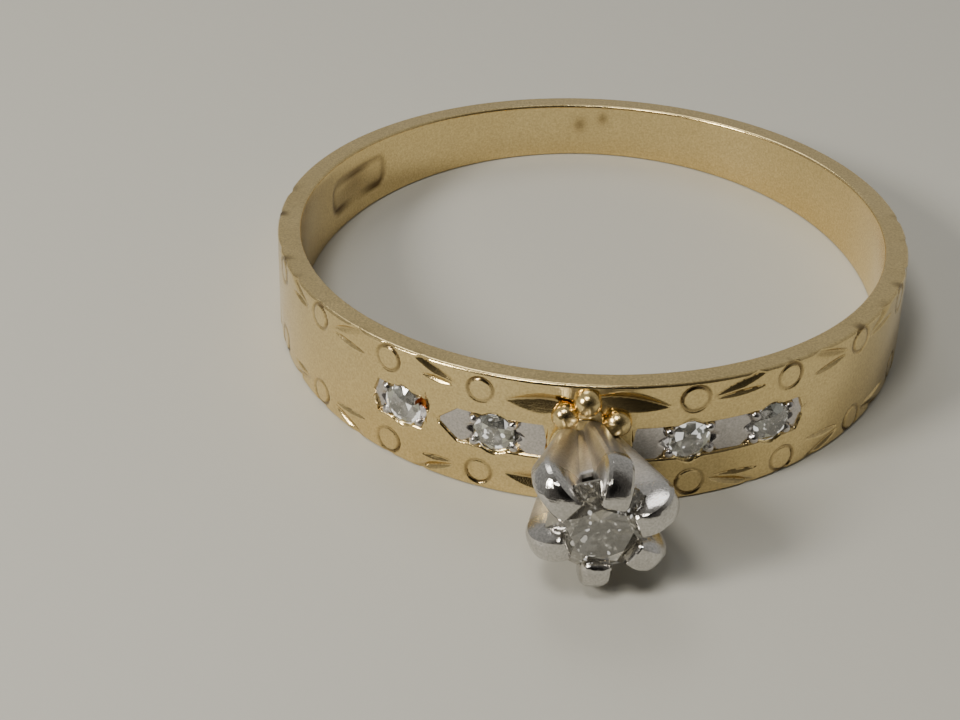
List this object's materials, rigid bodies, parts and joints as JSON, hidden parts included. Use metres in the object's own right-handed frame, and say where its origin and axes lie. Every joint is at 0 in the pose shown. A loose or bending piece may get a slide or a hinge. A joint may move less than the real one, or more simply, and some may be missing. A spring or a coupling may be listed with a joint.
{
  "type": "engagement ring",
  "caption": "Tapered, edge-engraved gold finger ring with strip-set small side stones and a raised claw head holding one round stone.",
  "frame": {"origin": "centre of the finger bore at mid-width of the band", "axes": "+Z along the finger bore axis; the head stands toward -Y; +X to the right when the head faces the viewer"},
  "size_m": [0.0184, 0.0225, 0.0038],
  "materials": {
    "yellow_gold": "polished",
    "white_gold": "polished",
    "stone_clear": "polished"
  },
  "bodies": {
    "root": {"shank": "yellow_gold", "strip_left_outer": "white_gold", "strip_left_inner": "white_gold", "strip_right": "white_gold", "stone_left_outer": "stone_clear", "stone_left_inner": "stone_clear", "stone_right_inner": "stone_clear", "stone_right_outer": "stone_clear", "head_base": "yellow_gold", "claw_crown": "white_gold", "centre_stone": "stone_clear"}
  },
  "joints": []
}
